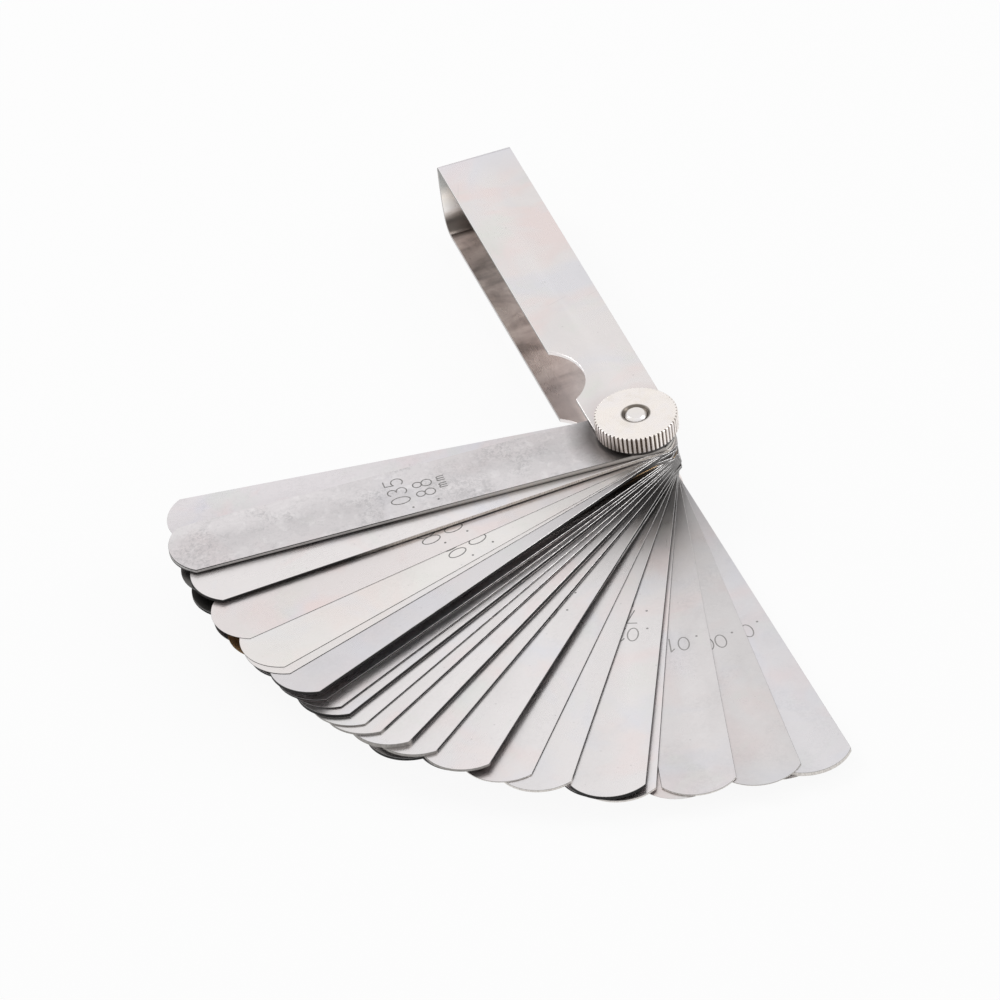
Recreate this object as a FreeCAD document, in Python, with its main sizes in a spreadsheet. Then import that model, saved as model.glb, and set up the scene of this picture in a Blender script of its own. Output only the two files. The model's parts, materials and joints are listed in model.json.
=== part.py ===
import FreeCAD, Part
import Sketcher
import math
import os

# Feeler gauge: a fan of flat thickness leaves on one threaded stud, held in a
# folded steel strip case and clamped by a round knurled nut.
# Frame: millimetres, origin on the pivot axis at the flat underside of the
# stud's head, +Z up along the pivot, +Y along the case from pivot to fold.

V = FreeCAD.Vector
doc = FreeCAD.newDocument("feeler_gauge")
sheet = doc.addObject("Spreadsheet::Sheet", "Dimensions")
sizes = {}


def dim(alias, value, formula=None):
    """Enter a size in the sheet; a derived size also gives its formula of aliases."""
    row = len(sizes) + 1
    sheet.set(f"A{row}", alias)
    sheet.set(f"B{row}", "=" + formula if formula else repr(float(value)))
    sheet.setAlias(f"B{row}", alias)
    sizes[alias] = float(value)
    return sizes[alias]


# ---- stud --------------------------------------------------------------------
hole_clearance = dim("hole_clearance", 0.05)    # on radius
head_radius = dim("head_radius", 4.5)
head_height = dim("head_height", 1.4)
head_edge = dim("head_edge", 0.3)               # chamfer
dim("head_face_radius", head_radius - head_edge, "head_radius - head_edge")
neck_radius = dim("neck_radius", 2.6)
neck_flat = dim("neck_flat", 2.0)               # from the axis to each flat
dim("neck_cut_reach", 3.5)                      # outer side of the flat cutters
dim("neck_cut_half", 3.0)
shank_radius = dim("shank_radius", 2.0)         # M4
shank_edge = dim("shank_edge", 0.45)            # chamfer
dim("shank_end_radius", shank_radius - shank_edge, "shank_radius - shank_edge")
stud_proud = dim("stud_proud", 0.12)            # stud end above the nut

# ---- leaves ------------------------------------------------------------------
leaf_width = dim("leaf_width", 12.7)            # half-inch stock
dim("leaf_half_width", leaf_width / 2, "leaf_width / 2")
leaf_end_radius = dim("leaf_end_radius", 8.0)   # both ends, sharp corners
dim("leaf_heel_centre", 1.6)                    # centre of the heel arc
dim("leaf_hole_radius", shank_radius + hole_clearance, "shank_radius + hole_clearance")
leaf_gap = dim("leaf_gap", 0.01)

# ---- case --------------------------------------------------------------------
case_thickness = dim("case_thickness", 0.7)
case_width = dim("case_width", 14.0)
case_end_radius = dim("case_end_radius", case_width / 2, "case_width / 2")
dim("case_trim_reach", case_end_radius + 2, "case_end_radius + 2")
case_floor = dim("case_floor", head_height, "head_height")   # lower plate's underside
floor_top = dim("case_floor_top", case_floor + case_thickness, "case_floor + case_thickness")
lower_bend = dim("case_lower_bend", 2.5)        # inner radii of the fold
upper_bend = dim("case_upper_bend", 0.6)
lower_bend_y = dim("case_lower_bend_y", 84.9)
lower_turn = dim("case_lower_turn", 76.0)       # degrees
wall_turn = dim("case_wall_turn", 18.0)
dim("case_top_hole_radius", 2.1)
dim("case_neck_hole_radius", neck_radius + hole_clearance, "neck_radius + hole_clearance")
dim("case_neck_hole_flat", neck_flat + hole_clearance, "neck_flat + hole_clearance")
dim("notch_radius", 9.1)
dim("notch_side", 12.2)                         # arc centre off the axis
dim("notch_top_y", 19.9)
dim("notch_low_y", 17.2)

# Cutters start this far below a plate's underside and pass right through it.
TOP_CUT_DROP = 1.0
LOW_CUT_DROP = 0.5
PLATE_CUT_DEPTH = 2.2
NECK_HOLE_CUT_DEPTH = 1.6

# ---- washer and nut ----------------------------------------------------------
dim("washer_radius", 5.0)
dim("washer_hole_radius", shank_radius + hole_clearance, "shank_radius + hole_clearance")
washer_thickness = dim("nut_washer_thickness", 0.2)

nut_radius = dim("nut_radius", 7.4)
nut_height = dim("nut_height", 3.2)
nut_edge = dim("nut_edge", 0.15)                # chamfers
dim("nut_face_radius", nut_radius - nut_edge, "nut_radius - nut_edge")
dim("nut_rim_top", nut_height - nut_edge, "nut_height - nut_edge")
dim("nut_bore_radius", shank_radius + hole_clearance, "shank_radius + hole_clearance")
dim("nut_sink_radius", 2.45)
nut_sink_depth = dim("nut_sink_depth", 0.4)
dim("nut_sink_floor", nut_height - nut_sink_depth, "nut_height - nut_sink_depth")
dim("nut_recess_radius", 5.2)                   # pocket under the nut for its washer
nut_recess_depth = dim("nut_recess_depth", 0.2)
KNURL_COUNT = 56
dim("knurl_root_radius", 7.08)
dim("knurl_root_half", 0.07)                    # half width at the groove floor
dim("knurl_outer_radius", 7.7)
dim("knurl_outer_half", 0.361)                  # half width at the outer radius

# Leaves from the top of the stack to the bottom: name, thickness in inches,
# opening angle from the closed position, length from the pivot to the tip.
LEAVES = [
    ("leaf_0p88mm", 0.035, 87.2, 85.4),
    ("leaf_0p05mm", 0.002, 81.2, 84.1),
    ("leaf_0p60mm", 0.024, 93.3, 84.1),
    ("leaf_0p18mm", 0.007, 91.2, 84.9),
    ("leaf_0p06mm", 0.0025, 101.05, 85.0),
    ("leaf_0p08mm", 0.003, 108.14, 85.2),
    ("leaf_0p10mm", 0.004, 109.5, 85.7),
    ("leaf_0p63mm", 0.025, 114.55, 85.8),
    ("leaf_0p45mm", 0.018, 110.0, 85.2),
    ("leaf_0p53mm", 0.021, 94.4, 84.7),
    ("leaf_0p25mm_brass", 0.01, 104.2, 84.4),
    ("leaf_0p13mm", 0.005, 100.6, 84.4),
    ("leaf_0p35mm", 0.014, 114.91, 85.0),
    ("leaf_0p30mm", 0.012, 117.0, 84.7),
    ("leaf_0p65mm", 0.026, 118.53, 85.1),
    ("leaf_0p28mm", 0.011, 120.9, 85.3),
    ("leaf_0p43mm", 0.017, 123.2, 85.4),
    ("leaf_0p80mm", 0.032, 126.98, 85.2),
    ("leaf_0p55mm", 0.022, 130.4, 84.8),
    ("leaf_0p50mm", 0.02, 137.19, 84.8),
    ("leaf_0p58mm", 0.023, 129.4, 85.1),
    ("leaf_0p23mm", 0.009, 136.4, 84.0),
    ("leaf_0p25mm", 0.01, 142.3, 84.6),
    ("leaf_0p48mm", 0.019, 147.22, 85.4),
    ("leaf_0p70mm", 0.028, 155.96, 85.9),
    ("leaf_0p38mm", 0.015, 155.1, 85.0),
    ("leaf_0p40mm", 0.016, 157.13, 85.7),
    ("leaf_0p33mm", 0.013, 166.59, 85.3),
    ("leaf_0p04mm", 0.0015, 164.5, 85.5),
    ("leaf_0p20mm", 0.008, 174.44, 85.4),
    ("leaf_0p75mm", 0.03, 180.82, 85.4),
    ("leaf_0p15mm", 0.006, 177.6, 84.3),
]
INCH = 25.4

# ---- heights of the stack, from the lower plate up ---------------------------
stack_top = floor_top
for name, inches, opening, reach in reversed(LEAVES):
    stack_top += leaf_gap
    dim(name + "_z", round(stack_top, 4))
    stack_top += dim(name + "_t", inches * INCH)
    dim(name + "_open", opening)
    dim(name + "_reach", reach)
    dim(name + "_tip_centre", reach - leaf_end_radius, name + "_reach - leaf_end_radius")

top_under = dim("case_top_underside", round(stack_top + leaf_gap, 4))
washer_z = dim("nut_washer_z", round(top_under + case_thickness + leaf_gap, 4))
nut_z = dim("nut_z", round(washer_z + washer_thickness + leaf_gap - nut_recess_depth, 4))
stud_top = dim("stud_top", round(nut_z + nut_height + stud_proud, 4))
dim("shank_edge_z", stud_top - shank_edge, "stud_top - shank_edge")

# The bow of the end wall is the one radius that brings the upper bend level
# with the underside of the top plate.
lower_angle = math.radians(lower_turn)
wall_angle = math.radians(lower_turn + wall_turn)
bend_rise = (top_under - upper_bend) - (floor_top + lower_bend)
wall_bow = dim("case_wall_bow", (
    bend_rise + lower_bend * math.cos(lower_angle) - upper_bend * math.cos(wall_angle)
) / (math.cos(lower_angle) - math.cos(wall_angle)))
doc.recompute()


# ---- sketch helpers ----------------------------------------------------------
# A coordinate is given as an alias, "-alias" for the negative side of the
# origin, or None for zero.
START, END, CENTRE = 1, 2, 3        # points of a sketch element
ORIGIN = (-1, 1)
ZERO_LINE = {"X": -2, "Y": -1}      # sketch axis on which X or Y is zero


def new_body(label):
    body = doc.addObject("PartDesign::Body", label)
    body.Label = label
    return body


def new_sketch(body, name, role, height=0.0):
    outline = body.newObject("Sketcher::SketchObject", name)
    plane = [item for item in body.Origin.OriginFeatures if item.Role == role][0]
    outline.AttachmentSupport = [(plane, "")]
    outline.MapMode = "FlatFace"
    outline.AttachmentOffset = FreeCAD.Placement(V(0, 0, height), FreeCAD.Rotation())
    return outline


def coordinate(alias):
    if alias is None:
        return 0.0
    value = sizes[alias.lstrip("-")]
    return -value if alias.startswith("-") else value


def constrain(outline, kind, *args):
    return outline.addConstraint(Sketcher.Constraint(kind, *args))


def bind(outline, alias, kind, *args):
    """Add a dimension driven by the sheet."""
    index = constrain(outline, kind, *args, sizes[alias])
    name = f"{alias}_{index}"
    outline.renameConstraint(index, name)
    outline.setExpression("Constraints." + name, "Dimensions." + alias)


def place(outline, element, point, axis, alias):
    """Hold one coordinate of a point; axis is "X" or "Y" of the sketch."""
    if alias is None:
        constrain(outline, "PointOnObject", element, point, ZERO_LINE[axis])
    elif alias.startswith("-"):
        bind(outline, alias[1:], "Distance" + axis, element, point, *ORIGIN)
    else:
        bind(outline, alias, "Distance" + axis, *ORIGIN, element, point)


def add_line(outline, first, last):
    return outline.addGeometry(Part.LineSegment(V(*first, 0), V(*last, 0)), False)


def add_arc(outline, centre, radius, first, last):
    round_edge = Part.Circle(V(*centre, 0), V(0, 0, 1), radius)
    return outline.addGeometry(Part.ArcOfCircle(round_edge, first, last), False)


def add_circle(outline, radius, x=None, y=None):
    centre = V(coordinate(x), coordinate(y), 0)
    ring = outline.addGeometry(Part.Circle(centre, V(0, 0, 1), sizes[radius]), False)
    place(outline, ring, CENTRE, "X", x)
    place(outline, ring, CENTRE, "Y", y)
    bind(outline, radius, "Radius", ring)


def join(outline, chain):
    """Close a chain of (element, first point, last point)."""
    for i, (element, _, last) in enumerate(chain):
        following, first, _ = chain[(i + 1) % len(chain)]
        constrain(outline, "Coincident", element, last, following, first)


def add_polygon(outline, corners):
    """Closed polygon through corners given as pairs of coordinate aliases."""
    points = [(coordinate(x), coordinate(y)) for x, y in corners]
    edges = [add_line(outline, points[i - 1], points[i]) for i in range(len(points))]
    join(outline, [(edge, START, END) for edge in edges])
    for edge, (x, y) in zip(edges, corners):
        place(outline, edge, END, "X", x)
        place(outline, edge, END, "Y", y)


def add_flat_sided(outline, half_width, radius, top_centre=None, low_centre=None):
    """Two sides parallel to Y, closed by an arc at each end."""
    side = sizes[half_width]
    end_radius = sizes[radius]
    top_y, low_y = coordinate(top_centre), coordinate(low_centre)
    rise = math.sqrt(end_radius ** 2 - side ** 2)
    angle = math.atan2(rise, side)
    right = add_line(outline, (side, low_y - rise), (side, top_y + rise))
    top = add_arc(outline, (0, top_y), end_radius, angle, math.pi - angle)
    left = add_line(outline, (-side, top_y + rise), (-side, low_y - rise))
    low = add_arc(outline, (0, low_y), end_radius, math.pi + angle, 2 * math.pi - angle)
    join(outline, [(element, START, END) for element in (right, top, left, low)])
    constrain(outline, "Vertical", right)
    constrain(outline, "Vertical", left)
    for arc, centre in ((top, top_centre), (low, low_centre)):
        place(outline, arc, CENTRE, "X", None)
        place(outline, arc, CENTRE, "Y", centre)
        bind(outline, radius, "Radius", arc)
    place(outline, right, START, "X", half_width)
    place(outline, left, START, "X", "-" + half_width)


# ---- feature helpers ---------------------------------------------------------
def pad(body, name, outline, length, midplane=False):
    feature = body.newObject("PartDesign::Pad", name)
    feature.Profile = outline
    feature.Length = sizes[length]
    feature.setExpression("Length", "Dimensions." + length)
    if midplane:
        feature.Midplane = True
    doc.recompute()


def revolve(body, name, outline):
    feature = body.newObject("PartDesign::Revolution", name)
    feature.Profile = outline
    feature.ReferenceAxis = (outline, ["V_Axis"])
    feature.Angle = 360
    doc.recompute()


def cut_up(body, name, outline, depth=None, depth_alias=None):
    """Pocket towards +Z, through everything if no depth is given."""
    before = body.Shape.Volume
    feature = body.newObject("PartDesign::Pocket", name)
    feature.Profile = outline
    if depth_alias:
        depth = sizes[depth_alias]
    if depth is None:
        feature.Type = "ThroughAll"
    else:
        feature.Type = "Length"
        feature.Length = depth
    if depth_alias:
        feature.setExpression("Length", "Dimensions." + depth_alias)
    feature.Reversed = True
    doc.recompute()
    if not body.Shape.Volume < before:
        raise RuntimeError(name + " cut nothing")
    return feature


def seat(body, height, turn=None):
    """Lift a body to its height and turn it about the pivot."""
    rotation = FreeCAD.Rotation(V(0, 0, 1), coordinate(turn))
    body.Placement = FreeCAD.Placement(V(0, 0, sizes[height]), rotation)
    body.setExpression("Placement.Base.z", "Dimensions." + height)
    if turn:
        body.setExpression("Placement.Rotation.Angle", "Dimensions." + turn)


# ---- case: one strip folded into a U -----------------------------------------
def fold_arcs(offset):
    """Lower bend, bowed wall and upper bend as (centre, radius, first, last angle).

    Offset 0 follows the inner face of the strip, case_thickness the outer one.
    """
    low_y, low_z = lower_bend_y, floor_top + lower_bend
    wall_y = low_y - (wall_bow - lower_bend) * math.sin(lower_angle)
    wall_z = low_z + (wall_bow - lower_bend) * math.cos(lower_angle)
    up_y = wall_y + (wall_bow - upper_bend) * math.sin(wall_angle)
    up_z = wall_z - (wall_bow - upper_bend) * math.cos(wall_angle)
    quarter = math.pi / 2
    return [
        ((low_y, low_z), lower_bend + offset, -quarter, lower_angle - quarter),
        ((wall_y, wall_z), wall_bow + offset, lower_angle - quarter, wall_angle - quarter),
        ((up_y, up_z), upper_bend + offset, wall_angle - quarter, quarter),
    ]


def arc_point(centre, radius, angle):
    return (centre[0] + radius * math.cos(angle), centre[1] + radius * math.sin(angle))


def add_strip_profile(outline):
    """Fixed outline of the strip's thickness, out along the outer face and back."""
    open_y = -case_end_radius
    top_face = top_under + case_thickness
    outer, inner = fold_arcs(case_thickness), fold_arcs(0.0)
    (outer_low, outer_high), (inner_low, inner_high) = [
        (arc_point(*arcs[0][:3]), arc_point(arcs[2][0], arcs[2][1], arcs[2][3]))
        for arcs in (outer, inner)]

    def lines(*points):
        return [(add_line(outline, first, last), START, END)
                for first, last in zip(points, points[1:])]

    chain = lines((open_y, case_floor), outer_low)
    chain += [(add_arc(outline, *arc), START, END) for arc in outer]
    chain += lines(outer_high, (open_y, top_face), (open_y, top_under), inner_high)
    chain += [(add_arc(outline, *arc), END, START) for arc in reversed(inner)]
    chain += lines(inner_low, (open_y, floor_top), (open_y, case_floor))
    join(outline, chain)
    for element, _, _ in chain:
        constrain(outline, "Block", element)


def add_end_corner(outline, side):
    """Waste outside the pivot end arc, on the +X (1) or -X (-1) side."""
    radius, reach = case_end_radius, sizes["case_trim_reach"]
    edge = add_line(outline, (side * radius, 0), (side * radius, -reach))
    base = add_line(outline, (side * radius, -reach), (0, -reach))
    first = -math.pi / 2 if side > 0 else math.pi
    arc = add_arc(outline, (0, 0), radius, first, first + math.pi / 2)
    middle = add_line(outline, (0, -reach), (0, -radius))
    arc_ends = (START, END) if side > 0 else (END, START)
    join(outline, [(edge, START, END), (base, START, END),
                   (middle, START, END), (arc, *arc_ends)])
    constrain(outline, "Vertical", edge)
    constrain(outline, "Horizontal", base)
    constrain(outline, "Vertical", middle)
    constrain(outline, "Coincident", arc, CENTRE, *ORIGIN)
    place(outline, edge, START, "Y", None)
    place(outline, middle, END, "X", None)
    bind(outline, "case_end_radius", "Radius", arc)
    place(outline, edge, END, "Y", "-case_trim_reach")


def make_case():
    body = new_body("strip_case")
    outline = new_sketch(body, "fold_profile", "YZ_Plane")
    add_strip_profile(outline)
    pad(body, "folded_strip", outline, "case_width", midplane=True)

    # round pivot end on both plates
    outline = new_sketch(body, "end_round", "XY_Plane")
    for side in (1, -1):
        add_end_corner(outline, side)
    cut_up(body, "end_trim", outline)

    # thumb notch in the -X edge, a little further from the fold on the lower plate
    top_start = top_under - TOP_CUT_DROP
    low_start = case_floor - LOW_CUT_DROP
    for name, start in (("notch_top", top_start), ("notch_low", low_start)):
        outline = new_sketch(body, name + "_arc", "XY_Plane", start)
        add_circle(outline, "notch_radius", "-notch_side", name + "_y")
        cut_up(body, name, outline, PLATE_CUT_DEPTH)

    # round hole in the top plate
    outline = new_sketch(body, "top_hole_circle", "XY_Plane", top_start)
    add_circle(outline, "case_top_hole_radius")
    cut_up(body, "top_hole", outline, PLATE_CUT_DEPTH)

    # double-D hole in the lower plate keeps the stud from turning
    outline = new_sketch(body, "neck_hole_outline", "XY_Plane", low_start)
    add_flat_sided(outline, "case_neck_hole_flat", "case_neck_hole_radius")
    cut_up(body, "neck_hole", outline, NECK_HOLE_CUT_DEPTH)
    return body


# ---- stud --------------------------------------------------------------------
def make_stud():
    body = new_body("pivot_stud")
    outline = new_sketch(body, "stud_profile", "XZ_Plane")
    # radius and height, from the centre of the head's underside to the stud's end
    add_polygon(outline, [
        (None, None),
        ("head_face_radius", None),
        ("head_radius", "head_edge"),
        ("head_radius", "head_height"),
        ("neck_radius", "head_height"),
        ("neck_radius", "case_floor_top"),
        ("shank_radius", "case_floor_top"),
        ("shank_radius", "shank_edge_z"),
        ("shank_end_radius", "stud_top"),
        (None, "stud_top"),
    ])
    revolve(body, "stud_turned", outline)

    # two flats on the neck, one plate thickness high
    for side, sign in (("right", ""), ("left", "-")):
        outline = new_sketch(body, "neck_flat_" + side, "XY_Plane", head_height)
        near, far = sign + "neck_flat", sign + "neck_cut_reach"
        add_polygon(outline, [
            (near, "-neck_cut_half"),
            (far, "-neck_cut_half"),
            (far, "neck_cut_half"),
            (near, "neck_cut_half"),
        ])
        cut_up(body, "neck_cut_" + side, outline, depth_alias="case_thickness")
    return body


# ---- washer ------------------------------------------------------------------
def make_washer():
    body = new_body("nut_washer")
    outline = new_sketch(body, "nut_washer_outline", "XY_Plane")
    add_circle(outline, "washer_radius")
    add_circle(outline, "washer_hole_radius")
    pad(body, "nut_washer_disc", outline, "nut_washer_thickness")
    seat(body, "nut_washer_z")
    return body


# ---- knurled nut -------------------------------------------------------------
def make_nut():
    body = new_body("knurled_nut")
    section = new_sketch(body, "nut_profile", "XZ_Plane")
    # radius and height, up the rim and back down the bore
    add_polygon(section, [
        ("nut_recess_radius", None),
        ("nut_face_radius", None),
        ("nut_radius", "nut_edge"),
        ("nut_radius", "nut_rim_top"),
        ("nut_face_radius", "nut_height"),
        ("nut_sink_radius", "nut_height"),
        ("nut_bore_radius", "nut_sink_floor"),
        ("nut_bore_radius", "nut_recess_depth"),
        ("nut_recess_radius", "nut_recess_depth"),
    ])
    revolve(body, "nut_blank", section)

    # one straight groove, then the ring of them
    outline = new_sketch(body, "knurl_groove", "XY_Plane")
    add_polygon(outline, [
        ("knurl_root_radius", "-knurl_root_half"),
        ("knurl_outer_radius", "-knurl_outer_half"),
        ("knurl_outer_radius", "knurl_outer_half"),
        ("knurl_root_radius", "knurl_root_half"),
    ])
    groove = cut_up(body, "knurl_cut", outline)
    ring = body.newObject("PartDesign::PolarPattern", "knurl_ring")
    ring.Originals = [groove]
    ring.Axis = (section, ["V_Axis"])
    ring.Angle = 360
    ring.Occurrences = KNURL_COUNT
    body.Tip = ring
    doc.recompute()
    seat(body, "nut_z")
    return body


# ---- leaves ------------------------------------------------------------------
def make_leaf(name):
    body = new_body(name)
    outline = new_sketch(body, name + "_outline", "XY_Plane")
    add_flat_sided(outline, "leaf_half_width", "leaf_end_radius",
                   name + "_tip_centre", "leaf_heel_centre")
    add_circle(outline, "leaf_hole_radius")
    pad(body, name + "_plate", outline, name + "_t")
    seat(body, name + "_z", name + "_open")
    return body


# ---- build and export --------------------------------------------------------
bodies = [make_case(), make_stud(), make_washer(), make_nut()]
bodies += [make_leaf(row[0]) for row in LEAVES]
doc.recompute()

failed = [item.Name for item in doc.Objects if "Invalid" in item.State or "Error" in item.State]
if failed:
    raise RuntimeError("failed objects: " + ", ".join(failed))

os.makedirs("parts", exist_ok=True)
for body in bodies:
    shape = body.Shape
    if shape.isNull() or not shape.isValid() or len(shape.Solids) != 1:
        raise RuntimeError("bad shape: " + body.Label)
    shape.exportStep("parts/" + body.Label + ".step")
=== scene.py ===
"""Feeler gauge set: thin steel leaves fanned about one pivot over a folded sheet case.

The pivot is the Z axis through the origin. The case runs along +Y from the pivot, with its
lower plate near the floor and its top plate under a knurled nut. Each leaf is modelled
pointing along +Y, then turned about Z by its opening angle. Objects are in metres; leaf
drawing and shader coordinates are in millimetres.
"""
import bpy
import bmesh
import json
import math
from mathutils import Matrix, Vector
from mathutils.geometry import delaunay_2d_cdt


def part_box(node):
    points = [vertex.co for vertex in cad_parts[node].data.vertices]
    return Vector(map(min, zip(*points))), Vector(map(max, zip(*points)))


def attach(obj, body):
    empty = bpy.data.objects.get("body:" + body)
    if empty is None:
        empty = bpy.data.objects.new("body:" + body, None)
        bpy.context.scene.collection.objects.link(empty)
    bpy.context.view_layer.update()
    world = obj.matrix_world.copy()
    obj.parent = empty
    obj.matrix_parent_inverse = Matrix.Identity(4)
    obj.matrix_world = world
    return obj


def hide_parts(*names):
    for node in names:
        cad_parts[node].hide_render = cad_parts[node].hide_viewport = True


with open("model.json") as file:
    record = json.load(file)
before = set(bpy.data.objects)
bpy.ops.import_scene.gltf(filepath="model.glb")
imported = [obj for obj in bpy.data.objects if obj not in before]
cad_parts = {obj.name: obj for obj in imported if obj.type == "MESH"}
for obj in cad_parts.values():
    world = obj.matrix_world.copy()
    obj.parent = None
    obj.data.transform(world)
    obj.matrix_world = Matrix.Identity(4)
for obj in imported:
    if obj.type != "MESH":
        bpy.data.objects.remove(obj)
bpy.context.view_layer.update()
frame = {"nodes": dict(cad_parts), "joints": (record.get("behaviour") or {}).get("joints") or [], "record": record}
MM = 0.001


# ---------------------------------------------------------------- shader graph helpers
def rgba(value):
    """Give a plain colour its alpha; leave sockets alone."""
    return value if isinstance(value, bpy.types.NodeSocket) else (*value, 1.0)


def scaled(color, *factors):
    """Colour times one factor, or times one factor per channel."""
    return tuple(c * f for c, f in zip(color, factors * (3 // len(factors))))


class Graph:
    """Emptied node tree of a material or world, with short calls for the nodes used here."""

    def __init__(self, owner):
        self.owner = owner
        owner.use_nodes = True
        self.tree = owner.node_tree
        self.tree.nodes.clear()

    def node(self, kind, **settings):
        node = self.tree.nodes.new(kind)
        for name, value in settings.items():
            setattr(node, name, value)
        return node

    def put(self, value, socket):
        """Link a socket, or set a plain value."""
        if isinstance(value, bpy.types.NodeSocket):
            self.tree.links.new(value, socket)
        else:
            socket.default_value = value

    def math(self, operation, *values, clamp=False):
        node = self.node("ShaderNodeMath", operation=operation, use_clamp=clamp)
        for value, socket in zip(values, node.inputs):
            self.put(value, socket)
        return node.outputs[0]

    def add(self, a, b, clamp=False):
        return self.math("ADD", a, b, clamp=clamp)

    def mul(self, a, b):
        return self.math("MULTIPLY", a, b)

    def size(self, value):
        return self.math("ABSOLUTE", value)

    def jitter(self, value, noise, span, clamp=False):
        """Value plus noise centred on zero and stretched to span."""
        return self.add(value, self.mul(self.math("SUBTRACT", noise, 0.5), span), clamp)

    def radius(self, x, y):
        return self.math("SQRT", self.add(self.mul(x, x), self.mul(y, y)))

    def map(self, value, start, end, low=0.0, high=1.0):
        """Clamped ramp from low at start to high at end."""
        node = self.node("ShaderNodeMapRange", clamp=True)
        for setting, socket in zip((value, start, end, low, high), node.inputs):
            self.put(setting, socket)
        return node.outputs[0]

    def mix(self, mask, color, tone, blend="MIX"):
        node = self.node("ShaderNodeMix", data_type="RGBA", blend_type=blend)
        self.put(mask, node.inputs[0])
        self.put(rgba(color), node.inputs[6])
        self.put(rgba(tone), node.inputs[7])
        return node.outputs[2]

    def tint(self, color, mask, strength, tone):
        """Mix tone over color where mask is set, at the given strength."""
        return self.mix(self.mul(mask, strength), color, tone)

    def color_ramp(self, value, stops):
        """Stops are (position, colour) in rising order."""
        node = self.node("ShaderNodeValToRGB")
        elements = node.color_ramp.elements
        for element, (at, color) in zip(elements, (stops[0], stops[-1])):
            element.position = at
            element.color = rgba(color)
        for at, color in stops[1:-1]:
            elements.new(at).color = rgba(color)
        self.put(value, node.inputs[0])
        return node.outputs[0]

    def object_coords(self):
        return self.node("ShaderNodeTexCoord").outputs["Object"]

    def mapping(self, vector, scale=(1, 1, 1), loc=(0, 0, 0), rot=(0, 0, 0)):
        node = self.node("ShaderNodeMapping")
        for value, socket in zip((vector, loc, rot, scale), node.inputs):
            self.put(value, socket)
        return node.outputs[0]

    def millimetres(self, coords, loc=(0, 0, 0)):
        return self.mapping(coords, scale=(1000, 1000, 1000), loc=loc)

    def split(self, vector):
        node = self.node("ShaderNodeSeparateXYZ")
        self.put(vector, node.inputs[0])
        return node.outputs

    def split_normal(self):
        return self.split(self.node("ShaderNodeNewGeometry").outputs["Normal"])

    def noise(self, vector, scale=1.0, detail=2.0, rough=0.5, warp=0.0):
        node = self.node("ShaderNodeTexNoise")
        self.put(vector, node.inputs["Vector"])
        node.inputs["Scale"].default_value = scale
        node.inputs["Detail"].default_value = detail
        node.inputs["Roughness"].default_value = rough
        node.inputs["Distortion"].default_value = warp
        return node.outputs[0]

    def surface(self, inputs):
        for name, value in inputs.items():
            self.put(value, self.bsdf.inputs[name])

    def bump(self, height, strength, distance):
        node = self.node("ShaderNodeBump")
        node.inputs["Strength"].default_value = strength
        node.inputs["Distance"].default_value = distance
        self.put(height, node.inputs["Height"])
        self.put(node.outputs[0], self.bsdf.inputs["Normal"])


def new_shader(name):
    """Graph of a new material with a principled surface; the material is its owner."""
    g = Graph(bpy.data.materials.new(name))
    g.output = g.node("ShaderNodeOutputMaterial")
    g.bsdf = g.node("ShaderNodeBsdfPrincipled")
    g.put(g.bsdf.outputs[0], g.output.inputs[0])
    return g


# ---------------------------------------------------------------- materials
def add_mottle(g, color, mm, amount):
    """Dark speckled patches and a few pale ones."""
    patches = g.noise(g.mapping(mm, loc=(41, 13, 7)), scale=0.10, detail=3, rough=0.6, warp=0.8)
    speckle = g.noise(g.mapping(mm, loc=(3, 33, 7)), scale=1.55, detail=3, rough=0.75, warp=0.8)
    pale = g.noise(g.mapping(mm, loc=(13, 3, 7)), scale=0.55, detail=2, rough=0.6, warp=0.3)
    mask = g.mul(g.map(patches, 0.44, 0.60), g.map(speckle, 0.44, 0.60))
    mask = g.math("MAXIMUM", mask, g.mul(g.map(speckle, 0.50, 0.66), 0.40))
    color = g.tint(color, mask, 0.55 * amount, (0.33, 0.325, 0.33))
    return g.tint(color, g.map(pale, 0.54, 0.72), 0.35 * amount, (0.92, 0.90, 0.90))


def add_oil_and_shade(g, color, mm, cloud, grime_and_shade, tip_shade, nut_shadow):
    """Grime and painted shade on a blade: darker towards the pivot, painted shade at the tip, a painted shadow of
    the nut in a disc round the pivot.
    """
    # painted shade with some grime, darker towards the pivot where the leaves close together
    y = g.jitter(g.split(mm)[1], cloud, span=14.0)
    fade = g.math("POWER", g.map(y, 9.0, 38.0, low=1.0, high=0.0), 1.6)
    color = g.tint(color, fade, grime_and_shade, (0.19, 0.185, 0.18))
    # painted shade on the tip, for the shadow under the leaves above
    if tip_shade:
        y = g.jitter(g.split(mm)[1], cloud, span=10.0)
        color = g.tint(color, g.map(y, 60.0, 74.0), tip_shade, (0.12, 0.115, 0.11))
    # painted shadow of the nut: a dark disc round the pivot
    if nut_shadow:
        x, y, _ = g.split(mm)
        radius = g.jitter(g.radius(x, y), cloud, span=3.0)
        disc = g.map(radius, 8.4, 13.0, low=1.0, high=0.0)
        color = g.tint(color, disc, nut_shadow, (0.085, 0.075, 0.07))
    return color


def scratches(g, mm):
    """Fine lines in three directions."""
    lines = None
    # turn about Z, scale across the lines, offset, noise level where a line starts
    for angle, across, offset, level in (
            (0.35, 7.0, (0, 0, 0), 0.735),
            (-0.9, 5.6, (17, 5, 0), 0.745),
            (1.25, 4.2, (34, 10, 0), 0.75)):
        turned = g.mapping(mm, rot=(0, 0, angle))
        drawn_out = g.mapping(turned, scale=(across, 0.10, 1), loc=offset)
        line = g.map(g.noise(drawn_out, warp=0.15), level, level + 0.035)
        lines = line if lines is None else g.math("MAXIMUM", lines, line)
    return lines


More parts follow.
